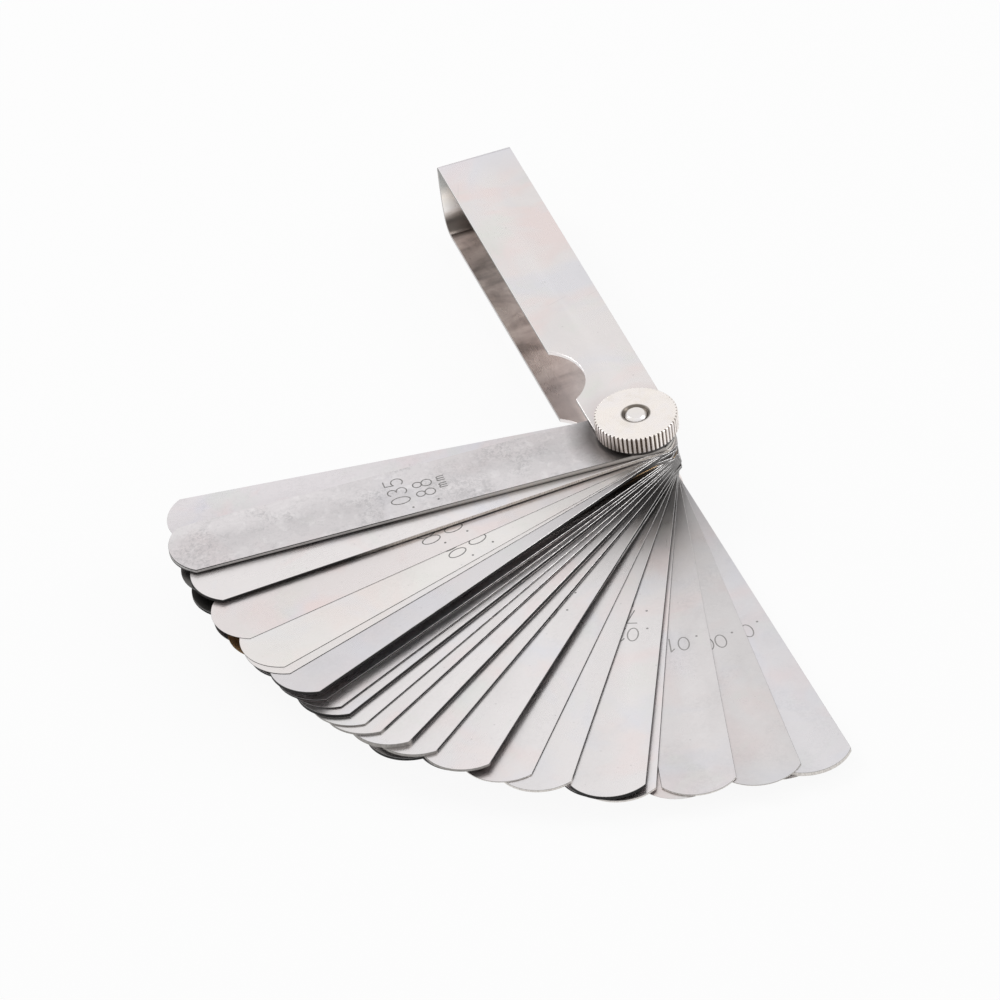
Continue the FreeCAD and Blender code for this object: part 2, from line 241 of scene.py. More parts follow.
def steel(name, base, rough, seed, stain, smudge, scratch=0.5,
          grime_and_shade=0.0, mottle=0.0, nut_shadow=0.0, tip_shade=0.0):
    """Rolled sheet: brushing along Y, scratches, oil tints, smudges and pits. Returns its graph."""
    g = new_shader(name)
    coords = g.object_coords()
    mm = g.millimetres(coords, loc=(seed * 37.7, seed * 91.3, seed * 13.1))

    # slow pink, blue and green tints left by oil and heat
    pink = g.noise(mm, scale=0.060, detail=3, rough=0.55, warp=0.6)
    blue = g.noise(g.mapping(mm, loc=(31, 77, 5)), scale=0.045, detail=3, rough=0.6, warp=0.9)
    green = g.noise(g.mapping(mm, loc=(-61, 17, 9)), scale=0.085, detail=4, rough=0.6, warp=0.5)
    color = g.tint(base, g.map(pink, 0.50, 0.66), stain, scaled(base, 1.03, 0.955, 0.945))
    color = g.tint(color, g.map(blue, 0.52, 0.68), stain, scaled(base, 0.945, 0.975, 1.02))
    color = g.tint(color, g.map(green, 0.56, 0.72), stain * 0.8, scaled(base, 0.955, 1.0, 0.965))

    # slow cloudy dark patches with a mottled fine texture inside
    cloud = g.noise(g.mapping(mm, scale=(1, 0.6, 1), loc=(11, 3, 70)),
                    scale=0.11, detail=5, rough=0.62, warp=0.4)
    texture = g.noise(mm, scale=1.6, detail=4, rough=0.7, warp=0.3)
    patches = g.mul(g.map(cloud, 0.46, 0.72), g.map(texture, 0.30, 0.68, low=0.45, high=1.0))
    darker = g.mix(1.0, color, (0.80, 0.80, 0.805), blend="MULTIPLY")
    color = g.tint(color, patches, smudge, darker)
    if mottle:
        color = add_mottle(g, color, mm, mottle)

    # grain along the strip
    grain = g.noise(g.mapping(mm, scale=(9.0, 0.22, 1)), detail=3, rough=0.7)
    fine_grain = g.noise(g.mapping(mm, scale=(16.0, 1.1, 1)), detail=2, rough=0.6)
    color = g.tint(color, g.map(grain, 0.35, 0.70), 0.05, (0.55, 0.55, 0.56))
    lines = scratches(g, mm)
    color = g.tint(color, lines, 0.35 * scratch, (0.50, 0.50, 0.50))

    # small pits and dust, in patches
    cells = g.node("ShaderNodeTexVoronoi")
    g.put(g.mapping(mm, loc=(5, 9, 0)), cells.inputs["Vector"])
    cells.inputs["Scale"].default_value = 0.42
    pits = g.mul(g.map(cells.outputs["Distance"], 0.10, 0.035),
                 g.map(g.noise(mm, scale=0.35), 0.50, 0.58))
    color = g.tint(color, pits, 0.275, (0.30, 0.29, 0.29))
    # painted shade near the pivot, at the tip and round the nut, with some grime
    if grime_and_shade:
        color = add_oil_and_shade(g, color, g.millimetres(coords), cloud, grime_and_shade, tip_shade, nut_shadow)

    roughness = g.jitter(g.jitter(rough, cloud, span=0.22), grain, span=0.14)
    g.surface({
        "Base Color": color,
        "Metallic": 1.0,
        "Roughness": g.add(roughness, g.mul(lines, 0.08), clamp=True),
        "Anisotropic": 0.35,
    })
    height = g.add(g.mul(fine_grain, 0.55), g.mul(grain, 0.30))
    height = g.add(height, g.mul(texture, 0.15 + 0.25 * smudge))
    height = g.math("SUBTRACT", height, g.mul(lines, 0.5))
    g.bump(height, strength=0.10, distance=0.00004)
    return g


def dark_edge(name, base=(0.016, 0.0155, 0.0155), metal=0.2, rim=None, near=None):
    """Sheared leaf side: dark steel, paler round the heel.

    rim is the tone of a tip with a painted reflection, near the tone of a painted sheen that leaves the side pale
    up to mid length.
    """
    g = new_shader(name)
    coords = g.object_coords()
    mm = g.millimetres(coords)
    shear = g.noise(g.mapping(mm, scale=(6, 6, 1.2)), detail=3, rough=0.6)
    spots = g.noise(mm, scale=0.30, detail=3, rough=0.6)
    y = g.split(g.millimetres(coords))[1]

    def streaked(light, dark):
        return g.mix(g.map(shear, 0.35, 0.70), light, dark)

    color = g.mix(g.map(shear, 0.40, 0.72), base, scaled(base, 1.7))
    color = g.tint(color, g.map(spots, 0.52, 0.70), 0.4, scaled(base, 2.0, 1.9, 1.85))
    heel = g.map(y, 5.0, -2.5, low=0.0, high=0.85)
    color = g.mix(heel, color, streaked((0.42, 0.41, 0.405), (0.16, 0.155, 0.15)))
    # painted sheen: the side pale up to mid length
    if near:
        painted_sheen = g.map(g.jitter(y, spots, span=9.0), 56.0, 44.0)
        color = g.mix(painted_sheen, color, streaked(near, scaled(near, 0.6, 0.58, 0.55)))
    # painted reflection on the side round the tip
    if rim:
        at_tip = g.map(y, 80.9, 81.6)
        color = g.mix(at_tip, color, streaked(rim, scaled(rim, 0.72, 0.71, 0.70)))
        metal = g.add(metal, g.mul(at_tip, 0.5))
    g.surface({
        "Base Color": color,
        "Metallic": metal,
        "Roughness": g.map(shear, 0.3, 0.7, low=0.42, high=0.62),
        "Specular IOR Level": 0.12,
    })
    g.bump(shear, strength=0.3, distance=0.00003)
    return g.owner


def banded_side(name, thickness):
    """Sheared side of a thick leaf: a painted light band between the two dark arrises, the lower one darkened as
    painted shade of the gap below.
    """
    g = new_shader(name)
    mm = g.millimetres(g.object_coords())
    _, y, z = g.split(mm)
    streaks = g.noise(g.mapping(mm, scale=(2.0, 0.5, 0.5)), detail=3, rough=0.6)
    level = g.jitter(g.math("DIVIDE", z, thickness), streaks, span=0.06)
    band = g.color_ramp(level, (
        (0.0, (0.012, 0.011, 0.011)),
        (0.28, (0.016, 0.015, 0.015)),
        (0.36, (0.34, 0.33, 0.325)),
        (0.74, (0.50, 0.49, 0.48)),
        (0.82, (0.08, 0.078, 0.076)),
        (1.0, (0.07, 0.068, 0.066)),
    ))
    color = g.mix(g.map(streaks, 0.40, 0.75, low=0.0, high=0.25), band, (0.12, 0.115, 0.11))
    # painted sheen, paler towards the pivot
    color = g.mix(g.map(y, 48.0, 26.0, low=0.0, high=0.5), color, (0.66, 0.62, 0.57))
    g.surface({
        "Base Color": color,
        "Metallic": 0.7,
        "Roughness": g.map(streaks, 0.3, 0.7, low=0.38, high=0.52),
        "Specular IOR Level": 0.15,
    })
    return g.owner


def bright_edge(name, base, far):
    """Rubbed arris; far scales its tone towards the tip, painted dimmer there so that glints show near the pivot.
    """
    g = new_shader(name)
    mm = g.millimetres(g.object_coords())
    wear = g.noise(mm, scale=0.9, detail=3, rough=0.6)
    color = g.mix(g.map(wear, 0.42, 0.70), base, scaled(base, 0.7))
    color = g.mix(g.map(g.split(mm)[1], 30.0, 62.0), color, scaled(base, far))
    g.surface({
        "Base Color": color,
        "Metallic": 1.0,
        "Roughness": g.map(wear, 0.3, 0.7, low=0.25, high=0.43),
    })
    return g.owner


def etched(name, base):
    """Engraved figure: rougher and darker metal at the bottom of the stroke."""
    g = new_shader(name)
    grit = g.noise(g.millimetres(g.object_coords()), scale=2.6, detail=3, rough=0.65)
    g.surface({
        "Base Color": g.mix(g.map(grit, 0.35, 0.70), base, (0.36, 0.35, 0.345)),
        "Metallic": 1.0,
        "Roughness": g.map(grit, 0.3, 0.7, low=0.45, high=0.62),
    })
    return g.owner


def nickel(name, base, rough, shadow_ring, groove_shade=None):
    """Satin nickel plate over turned brass: faint turning rings, soft warm cast.

    eye holds the radii where a painted shadow ring, round the nut's bore or the stud's end, starts, is full, is
    still full and has ended (fades may run inwards); knurl the radii between which the painted shade in the
    knurling's grooves clears.
    """
    g = new_shader(name)
    mm = g.millimetres(g.object_coords())
    x, y, _ = g.split(mm)
    radius = g.radius(x, y)
    along_radius = g.node("ShaderNodeCombineXYZ")
    g.put(radius, along_radius.inputs[0])
    rings = g.noise(along_radius.outputs[0], scale=5.5, detail=3, rough=0.7)
    cool = g.noise(mm, scale=0.28, detail=4, rough=0.6, warp=0.5)
    warm = g.noise(g.mapping(mm, loc=(9, 4, 2)), scale=0.40, detail=4, rough=0.65, warp=0.4)
    specks = g.noise(mm, scale=4.0, detail=3, rough=0.6)
    color = g.mix(g.map(cool, 0.42, 0.70), base, scaled(base, 0.97, 0.985, 1.03))
    color = g.tint(color, g.map(warm, 0.50, 0.72), 0.55, scaled(base, 0.88, 0.86, 0.82))
    color = g.tint(color, g.map(specks, 0.62, 0.78), 0.25, (0.45, 0.42, 0.38))
    # painted shade in the knurling's grooves
    if groove_shade:
        side = g.map(g.size(g.split_normal()[2]), 0.5, 0.3)
        deep = g.mul(g.map(radius, *groove_shade, low=1.0, high=0.0), side)
        deep = g.mul(deep, g.map(specks, 0.25, 0.6, low=0.85, high=1.0))
        color = g.mix(deep, color, (0.135, 0.102, 0.074))
    # painted shadow ring round the nut's bore or the stud's end
    start, full, still_full, end = shadow_ring
    ring = g.mul(g.map(radius, start, full), g.map(radius, end, still_full))
    g.surface({
        "Base Color": g.mix(ring, color, (0.16, 0.14, 0.12)),
        "Metallic": 1.0,
        "Roughness": g.jitter(rough, rings, span=0.20, clamp=True),
    })
    g.bump(g.add(rings, g.mul(specks, 0.4)), strength=0.12, distance=0.00003)
    return g.owner


def case_sheet():
    """Case steel, with tones that depend on place and facing, painted light and shade among them. Limits are in
    millimetres.
    """
    g = steel("case_sheet", (0.83, 0.79, 0.78), rough=0.30, seed=51,
              stain=1.3, smudge=0.35, scratch=0.9)
    plain = g.bsdf.inputs["Base Color"].links[0].from_socket
    mm = g.millimetres(g.object_coords())
    x, y, z = g.split(mm)
    normal_x, normal_y, normal_z = g.split_normal()

    # inside of the lower plate: darkened, brownish, with brighter patches, and painted light towards the notch
    lower = g.mul(g.map(z, 4.6, 3.6), g.map(normal_z, 0.3, 0.6))
    patches = g.noise(g.mapping(mm, scale=(0.05, 0.13, 0.2), loc=(3, 7.4, 0)),
                      detail=3, rough=0.6, warp=0.7)
    flecks = g.noise(g.mapping(mm, scale=(0.5, 0.35, 1), loc=(1, 2, 0)),
                     detail=4, rough=0.65, warp=0.4)
    browned = g.color_ramp(g.add(g.mul(patches, 0.75), g.mul(flecks, 0.25)), (
        (0.36, (0.32, 0.285, 0.265)),
        (0.50, (0.66, 0.59, 0.555)),
        (0.66, (1.0, 0.93, 0.88)),
    ))
    # painted light: near white towards the notch
    inner = g.mix(g.map(y, 40.0, 18.0), browned, (1.0, 0.92, 0.88))
    # painted shadow of the top plate's edge: a darker lane along the -X edge
    top_plate_shadow = g.mul(g.map(x, -3.0, -3.8), g.map(y, 42.0, 34.0))
    inner = g.tint(inner, top_plate_shadow, 0.38, (0.42, 0.39, 0.385))
    color = g.tint(plain, lower, 0.9, inner)

    # inside of the +Y end wall, from the lower bend up to the top bend: a painted highlight band across its
    # middle, dark brown below it and grey above
    wall = g.mul(g.map(y, 83.5, 85.5), g.map(normal_y, -0.05, -0.30))
    wall_tone = g.color_ramp(g.map(g.jitter(z, flecks, span=1.6), 2.1, 14.9), (
        (0.0, (0.22, 0.19, 0.17)),
        (0.09, (0.20, 0.17, 0.15)),
        (0.18, (0.42, 0.37, 0.33)),
        (0.24, (0.80, 0.75, 0.71)),
        (0.29, (1.0, 0.98, 0.96)),
        (0.40, (1.0, 0.98, 0.94)),
        (0.49, (1.0, 0.95, 0.88)),
        (0.58, (0.80, 0.77, 0.72)),
        (0.69, (0.46, 0.47, 0.45)),
        (0.86, (0.35, 0.37, 0.36)),
        (1.0, (0.30, 0.32, 0.31)),
    ))
    color = g.tint(color, wall, 0.85, wall_tone)

    # painted shade in the crease of the lower bend
    facing_up = g.mul(g.map(z, 4.9, 3.4), g.map(normal_z, 0.0, 0.2))
    bend_shade = g.mul(g.map(y, 82.6, 84.8), facing_up)
    color = g.tint(color, bend_shade, 0.90, (0.105, 0.09, 0.08))
    # faint blue cast at the far end of the top plate
    far_end = g.mul(g.map(y, 79.0, 88.0), g.map(z, 15.0, 15.5))
    color = g.tint(color, far_end, 0.5, (0.765, 0.775, 0.84))

    # long edges: mid grey on the lower plate, painted shade on the top plate's rim and a painted highlight at its
    # upper arris
    edge = g.mul(g.map(g.size(x), 6.90, 6.98), g.map(g.size(normal_x), 0.85, 0.95))
    edge_tone = g.mix(g.map(z, 15.24, 15.30), (0.085, 0.08, 0.078), (0.95, 0.93, 0.92))
    edge_tone = g.mix(g.map(z, 14.0, 14.5), (0.34, 0.32, 0.31), edge_tone)
    color = g.tint(color, edge, 0.85, edge_tone)

    # painted shadow of the nut on the top plate round it, and its rim in the nut's shade
    radius = g.radius(x, y)
    near_nut = g.mul(g.map(radius, 7.4, 13.0, low=0.30, high=0.0), g.map(z, 15.0, 15.5))
    color = g.mix(near_nut, color, (0.42, 0.40, 0.395))
    shade = g.mul(g.map(radius, 7.35, 7.15), g.map(g.size(normal_z), 0.6, 0.3))
    shade = g.mul(shade, g.mul(g.map(z, 14.7, 14.8), g.map(radius, 6.6, 6.8)))
    color = g.tint(color, shade, 0.95, (0.035, 0.032, 0.030))
    g.surface({"Base Color": color})
    return g.owner


# ---------------------------------------------------------------- figures
def ellipse(cx, cy, rx, ry, start=0.0, end=360.0, *, turn):
    """Arc in degrees; turn is the number of steps in a full turn."""
    steps = max(6, int(turn * abs(end - start) / 360.0))
    angles = [math.radians(start + (end - start) * i / steps) for i in range(steps + 1)]
    return [(cx + rx * math.cos(a), cy + ry * math.sin(a)) for a in angles]


# strokes of each character as (x, y) points, for a height of 1
GLYPHS = {
    "0": [ellipse(0.28, 0.5, 0.27, 0.49, turn=36)],
    "1": [[(0.12, 0.82), (0.30, 1.0)], [(0.30, 1.0), (0.30, 0.0)]],
    "2": [ellipse(0.28, 0.73, 0.25, 0.26, 165, -38, turn=30) + [(0.02, 0.01)],
          [(0.02, 0.01), (0.54, 0.01)]],
    "3": [ellipse(0.26, 0.76, 0.23, 0.23, 150, -90, turn=28),
          ellipse(0.26, 0.265, 0.27, 0.265, 90, -150, turn=28)],
    "4": [[(0.42, 0.0), (0.42, 1.0)], [(0.42, 1.0), (0.02, 0.30)], [(0.02, 0.30), (0.56, 0.30)]],
    "5": [[(0.50, 0.98), (0.10, 0.98)], [(0.10, 0.98), (0.06, 0.54)],
          ellipse(0.26, 0.31, 0.28, 0.30, 128, -140, turn=30)],
    "6": [ellipse(0.28, 0.28, 0.26, 0.28, turn=30),
          [(0.045, 0.36), (0.07, 0.55), (0.15, 0.74), (0.27, 0.89), (0.42, 0.99)]],
    "7": [[(0.02, 0.98), (0.54, 0.98)], [(0.54, 0.98), (0.20, 0.0)]],
    "8": [ellipse(0.28, 0.76, 0.21, 0.225, turn=28), ellipse(0.28, 0.27, 0.26, 0.265, turn=30)],
    "9": [ellipse(0.28, 0.72, 0.26, 0.28, turn=30),
          [(0.515, 0.64), (0.49, 0.45), (0.41, 0.26), (0.29, 0.11), (0.14, 0.01)]],
    "m": [[(0.04, 0.0), (0.04, 0.95)],
          ellipse(0.25, 0.62, 0.21, 0.33, 180, 0, turn=20) + [(0.46, 0.0)],
          ellipse(0.67, 0.62, 0.21, 0.33, 180, 0, turn=20) + [(0.88, 0.0)]],
    ".": [ellipse(0.0, 0.05, 0.03, 0.03, turn=12)],
}
ADVANCE = {"m": 1.30, ".": 0.62}  # share of the pitch a character takes, if not 1


def text_strokes(text, x, y, height, pitch):
    strokes = []
    for char in text:
        for stroke in GLYPHS[char]:
            strokes.append([(x + px * height, y + py * height) for px, py in stroke])
        x += pitch * ADVANCE.get(char, 1.0)
    return strokes


def scatter(index, channel):
    """Repeatable scattered value from 0 to 1."""
    value = math.sin(index * 12.9898 + channel * 78.233 + 4.1) * 43758.5453
    return value - math.floor(value)


def segment_distance(point, a, b):
    ax, ay = a
    dx, dy = b[0] - ax, b[1] - ay
    square = dx * dx + dy * dy
    along = 0.0
    if square:
        along = max(0.0, min(1.0, ((point[0] - ax) * dx + (point[1] - ay) * dy) / square))
    return math.hypot(point[0] - ax - along * dx, point[1] - ay - along * dy)


def ribbon(stroke, half):
    """Closed outline loops of a stroke of the given half width."""
    closed = math.dist(stroke[0], stroke[-1]) < 1e-6
    points = stroke[:-1] if closed else stroke
    count = len(points)

    def normal(i):
        if closed:
            a, b = points[i - 1], points[(i + 1) % count]
        else:
            a, b = points[max(i - 1, 0)], points[min(i + 1, count - 1)]
        length = math.dist(a, b) or 1.0
        return (-(b[1] - a[1]) / length, (b[0] - a[0]) / length)

    def cap(centre, start):
        angles = [start - math.pi * k / 5 for k in range(1, 5)]
        return [(centre[0] + half * math.cos(a), centre[1] + half * math.sin(a)) for a in angles]

    normals = [normal(i) for i in range(count)]
    left = [(x + nx * half, y + ny * half) for (x, y), (nx, ny) in zip(points, normals)]
    right = [(x - nx * half, y - ny * half) for (x, y), (nx, ny) in zip(points, normals)]
    if closed:
        return [left, right]
    (start_x, start_y), (end_x, end_y) = normals[0], normals[-1]
    end_cap = cap(points[-1], math.atan2(end_y, end_x))
    start_cap = cap(points[0], math.atan2(-start_y, -start_x))
    return [left + end_cap + right[::-1] + start_cap]


# ---------------------------------------------------------------- leaf shape, in millimetres
HALF_WIDTH = 6.35
END_RADIUS = 8.0
HEEL_Y = 1.6          # centre of the heel arc
HOLE_RADIUS = 2.05
ARRIS = 0.04          # largest arris chamfer
STROKE_HALF = 0.115   # half width of a figure's stroke
FIGURE_DEPTH = 0.012  # greatest depth of the figures
FACE_SLOT, SIDE_SLOT, ARRIS_SLOT, FIGURE_SLOT = range(4)


def outline(inset, tip):
    """Leaf outline moved in by inset, counter-clockwise; tip is the y of the tip arc's centre."""
    width, radius = HALF_WIDTH - inset, END_RADIUS - inset
    rise = math.sqrt(radius * radius - width * width)
    corner = math.atan2(rise, width)

    def straight(x, y0, y1):
        return [(x, y0 + (y1 - y0) * i / 8) for i in range(8)]

    def arc(centre_y, start, steps):
        angles = [start + (math.pi - 2 * corner) * i / steps for i in range(steps)]
        return [(radius * math.cos(a), centre_y + radius * math.sin(a)) for a in angles]

    return (straight(width, HEEL_Y - rise, tip + rise) + arc(tip, corner, 72)
            + straight(-width, tip + rise, HEEL_Y - rise) + arc(HEEL_Y, math.pi + corner, 36))


def inside(x, y, inset, tip):
    if abs(x) > HALF_WIDTH - inset:
        return False
    radius = END_RADIUS - inset
    if y > tip:
        return x * x + (y - tip) ** 2 <= radius * radius
    if y < HEEL_Y:
        return x * x + (y - HEEL_Y) ** 2 <= radius * radius
    return True


def tip_centre(node, opening):
    """Centre of the tip arc, read off the corners of the leaf's own solid."""
    solid = frame["nodes"][node]
    c, s = math.cos(-opening), math.sin(-opening)
    far = 0.0
    for vertex in solid.data.vertices:
        place = solid.matrix_world @ vertex.co
        x, y = (c * place.x - s * place.y) / MM, (s * place.x + c * place.y) / MM
        if abs(abs(x) - HALF_WIDTH) < 0.02:
            far = max(far, y)
    return far - math.sqrt(END_RADIUS ** 2 - HALF_WIDTH ** 2)


def circle(radius, steps=48):
    angles = [2 * math.pi * i / steps for i in range(steps)]
    return [(radius * math.cos(a), radius * math.sin(a)) for a in angles]


def on_stroke(x, y, strokes):
    return 25 < y < 55 and any(
        segment_distance((x, y), a, b) < STROKE_HALF
        for stroke in strokes for a, b in zip(stroke, stroke[1:]))


class LeafMesh:
    """Vertices, faces and material slots of one leaf, collected in millimetres."""

    def __init__(self, tip):
        self.tip = tip
        self.verts, self.faces, self.slots = [], [], []

    def add_loop(self, points, z):
        first = len(self.verts)
        self.verts.extend((x, y, z) for x, y in points)
        return list(range(first, first + len(points)))

    def add_face(self, face, slot):
        self.faces.append(tuple(face))
        self.slots.append(slot)

    def add_band(self, low, high, slot):
        for i in range(len(low)):
            j = (i + 1) % len(low)
            self.add_face((low[i], low[j], high[j], high[i]), slot)

    def add_sheet(self, z, inset, up, strokes=(), depth=0.0):
        """Flat face with the strokes sunk by depth. Returns its outer and hole loops."""
        rim, hole = outline(inset, self.tip), circle(HOLE_RADIUS + inset)
        points, edges = [], []
        loops = [rim, hole] + [lp for stroke in strokes for lp in ribbon(stroke, STROKE_HALF)]
        for loop in loops:
            first = len(points)
            points += [Vector(p) for p in loop]
            edges += [(first + i, first + (i + 1) % len(loop)) for i in range(len(loop))]
        flat, _, cells, origins, _, _ = delaunay_2d_cdt(points, edges, [], 0, 1e-5, True)
        base = len(self.verts)
        self.verts.extend((v[0], v[1], z) for v in flat)

        kept = []  # (cell, whether it lies in a stroke)
        for cell in cells:
            x = sum(flat[i][0] for i in cell) / len(cell)
            y = sum(flat[i][1] for i in cell) / len(cell)
            in_hole = math.hypot(x, y) < HOLE_RADIUS + inset * 0.999
            if inside(x, y, inset, self.tip) and not in_hole:
                kept.append((cell, on_stroke(x, y, strokes)))

        sunk = {}  # flat vertex -> its copy at the bottom of the stroke
        users = {}
        for cell, is_figure in kept:
            for a, b in zip(cell, [*cell[1:], cell[0]]):
                users.setdefault(frozenset((a, b)), []).append((is_figure, a, b))
            face = []
            for i in cell:
                if is_figure and i not in sunk:
                    sunk[i] = len(self.verts)
                    self.verts.append((flat[i][0], flat[i][1], z - depth))
                face.append(sunk[i] if is_figure else base + i)
            if not up:
                face.reverse()
            self.add_face(face, FIGURE_SLOT if is_figure else FACE_SLOT)

        # walls between the sunk strokes and the face
        for pair in users.values():
            if len(pair) == 2 and pair[0][0] != pair[1][0]:
                _, a, b = pair[0] if pair[0][0] else pair[1]
                self.add_face((sunk[b], sunk[a], base + a, base + b), FIGURE_SLOT)

        placed = {s: base + k for k, sources in enumerate(origins) for s in sources}
        rim_end = len(rim)
        return ([placed[i] for i in range(rim_end)],
                [placed[i] for i in range(rim_end, rim_end + len(hole))])

    def build(self, name):
        mesh = bpy.data.meshes.new(name)
        mesh.from_pydata([tuple(c * MM for c in v) for v in self.verts], [], self.faces)
        mesh.polygons.foreach_set("material_index", self.slots)
        mesh.update()
        bm = bmesh.new()
        bm.from_mesh(mesh)
        loose = [v for v in bm.verts if not v.link_faces]
        bmesh.ops.delete(bm, geom=loose, context="VERTS")
        bmesh.ops.recalc_face_normals(bm, faces=bm.faces)
        bm.to_mesh(mesh)
        bm.free()
        mesh.shade_smooth()
        mesh.set_sharp_from_angle(angle=math.radians(28))
        return mesh


def leaf_mesh(name, thickness, strokes, tip):
    inset = min(ARRIS, 0.25 * thickness)
    upper, lower = thickness - inset, inset
    leaf = LeafMesh(tip)
    top_rim, top_hole = leaf.add_sheet(
        thickness, inset, up=True, strokes=strokes, depth=min(FIGURE_DEPTH, 0.3 * thickness))
    upper_rim = leaf.add_loop(outline(0, tip), upper)
    lower_rim = leaf.add_loop(outline(0, tip), lower)
    bottom_rim, bottom_hole = leaf.add_sheet(0.0, inset, up=False)
    upper_hole = leaf.add_loop(circle(HOLE_RADIUS), upper)
    lower_hole = leaf.add_loop(circle(HOLE_RADIUS), lower)
    leaf.add_band(upper_rim, top_rim, ARRIS_SLOT)
    leaf.add_band(lower_rim, upper_rim, SIDE_SLOT)
    leaf.add_band(bottom_rim, lower_rim, ARRIS_SLOT)
    leaf.add_band(top_hole, upper_hole, ARRIS_SLOT)
    leaf.add_band(upper_hole, lower_hole, SIDE_SLOT)
    leaf.add_band(lower_hole, bottom_hole, ARRIS_SLOT)
    return leaf.build(name)


# ---------------------------------------------------------------- leaves
side_dark = dark_edge("leaf_side_dark")
arris_bright = bright_edge("leaf_arris", (0.86, 0.84, 0.83), far=0.30)
arris_dull = bright_edge("leaf_arris_dull", (0.10, 0.098, 0.096), far=0.9)
figures_dark = etched("leaf_figures", (0.15, 0.145, 0.14))
figures_faint = etched("leaf_figures_faint", (0.30, 0.29, 0.285))
# painted sheen on this side, pale up to mid length
side_sheen_near = dark_edge("leaf_side_painted_sheen_near", metal=0.5, near=(0.72, 0.67, 0.62))
# these sides get a painted reflection on their tips, pale on one and grey on the other
side_tip_reflection = dark_edge("leaf_side_painted_tip_reflection", rim=(0.74, 0.71, 0.68))
side_dim_tip_reflection = dark_edge("leaf_side_dim_painted_tip_reflection", rim=(0.36, 0.345, 0.33))
brass_side = dark_edge("brass_side", (0.11, 0.070, 0.035))
brass_arris = bright_edge("brass_arris", (0.45, 0.30, 0.16), far=0.30)

# thickness key in millimetres -> engraved inches
INCHES = {
    "0p04": ".0015", "0p05": ".002", "0p06": ".0025", "0p08": ".003", "0p10": ".004",
    "0p13": ".005", "0p15": ".006", "0p18": ".007", "0p20": ".008", "0p23": ".009",
    "0p25": ".010", "0p28": ".011", "0p30": ".012", "0p33": ".013", "0p35": ".014",
    "0p38": ".015", "0p40": ".016", "0p43": ".017", "0p45": ".018", "0p48": ".019",
    "0p50": ".020", "0p53": ".021", "0p55": ".022", "0p58": ".023", "0p60": ".024",
    "0p63": ".025", "0p65": ".026", "0p70": ".028", "0p75": ".030", "0p80": ".032",
    "0p88": ".035",
}
THICKEST = "leaf_0p88mm"

# face of each leaf: base colour, roughness, stain, smudge, grime and painted shade at the pivot
USUAL_TONE = ((0.81, 0.78, 0.778), 0.30, 0.8, 0.3, 0.9)
TONES = {
    THICKEST: ((0.68, 0.652, 0.658), 0.40, 0.45, 1.0, 0.10),
    "leaf_0p04mm": ((0.72, 0.70, 0.70), 0.34, 1.0, 0.5, 0.2),
    "leaf_0p05mm": ((0.755, 0.72, 0.735), 0.30, 1.2, 0.3, 0.2),
    "leaf_0p60mm": ((0.84, 0.805, 0.80), 0.30, 1.1, 0.2, 0.35),
    "leaf_0p06mm": ((0.80, 0.75, 0.742), 0.30, 1.0, 0.2, 0.45),
    "leaf_0p08mm": ((0.83, 0.80, 0.78), 0.30, 0.6, 0.2, 0.45),
    "leaf_0p10mm": ((0.83, 0.80, 0.785), 0.30, 0.5, 0.2, 0.45),
    "leaf_0p63mm": ((0.715, 0.69, 0.70), 0.30, 0.7, 0.4, 0.6),
    "leaf_0p33mm": ((0.745, 0.715, 0.715), 0.32, 0.7, 0.6, 0.75),
    "leaf_0p20mm": ((0.715, 0.69, 0.69), 0.32, 0.6, 0.5, 0.6),
    "leaf_0p75mm": ((0.735, 0.715, 0.73), 0.32, 0.8, 0.4, 0.5),
}
USUAL_MOTTLE = 0.12
MOTTLE = {THICKEST: 0.75, "leaf_0p33mm": 0.22, "leaf_0p20mm": 0.22, "leaf_0p75mm": 0.18,
          "leaf_0p05mm": 0.2, "leaf_0p60mm": 0.15}
# leaves whose tips, tucked under the leaves above, get painted shade
TIP_SHADES = {"leaf_0p18mm": 0.97, "leaf_0p53mm": 0.98, "leaf_0p13mm": 0.8}
# sides that are not plain dark: a painted sheen, or a painted reflection on the tip
SIDES = {"leaf_0p60mm": side_sheen_near}
for side_material, sizes in (
        (side_tip_reflection, "0p75 0p20 0p04 0p33 0p40 0p15 0p48 0p25"),
        (side_dim_tip_reflection, "0p50 0p55 0p80 0p43 0p28")):
    SIDES.update({f"leaf_{size}mm": side_material for size in sizes.split()})


def leaf_figures(node, index, opening, thickness):
    """Strokes of the inch and millimetre sizes; opening, in degrees, shifts them."""
    if thickness <= 0.055 or node == "leaf_0p60mm":
        return []
    key = node[5:9]
    inches = INCHES[key]
    shift_x, shift_y = scatter(index, 1) - 0.5, (scatter(index, 2) - 0.5) * 2.2
    pitch = 2.3 if len(inches) == 4 else 1.95
    if node == THICKEST:
        shift_x, shift_y, pitch = 0.0, 1.1, 2.62
    if 111 < opening < 150:
        if node == "leaf_0p50mm":
            shift_x = 1.35 + 0.3 * scatter(index, 3)
        else:
            shift_x, pitch = 2.35, 2.05
    elif opening > 150:
        shift_x = 0.9 if opening < 160 else 0.6
    if opening > 145:
        shift_y += 0.8 if opening < 160 else 3.4

    strokes = text_strokes(inches, -4.75 + shift_x, 41.2 + shift_y, height=3.45, pitch=pitch)
    if opening < 160:
        strokes += text_strokes("." + key[2:], -4.3 + shift_x, 36.5 + shift_y,
                                height=3.45, pitch=pitch)
        strokes += text_strokes("mm", -1.4 + shift_x * 0.5, 34.2 + shift_y,
                                height=1.35, pitch=1.5)
    return strokes


def brass_materials(node, index):
    face = steel(node + "_face", (0.66, 0.43, 0.22), rough=0.32, seed=index + 1,
                 stain=0.3, smudge=0.5, grime_and_shade=0.8)
    return face.owner, brass_side, brass_arris, figures_faint


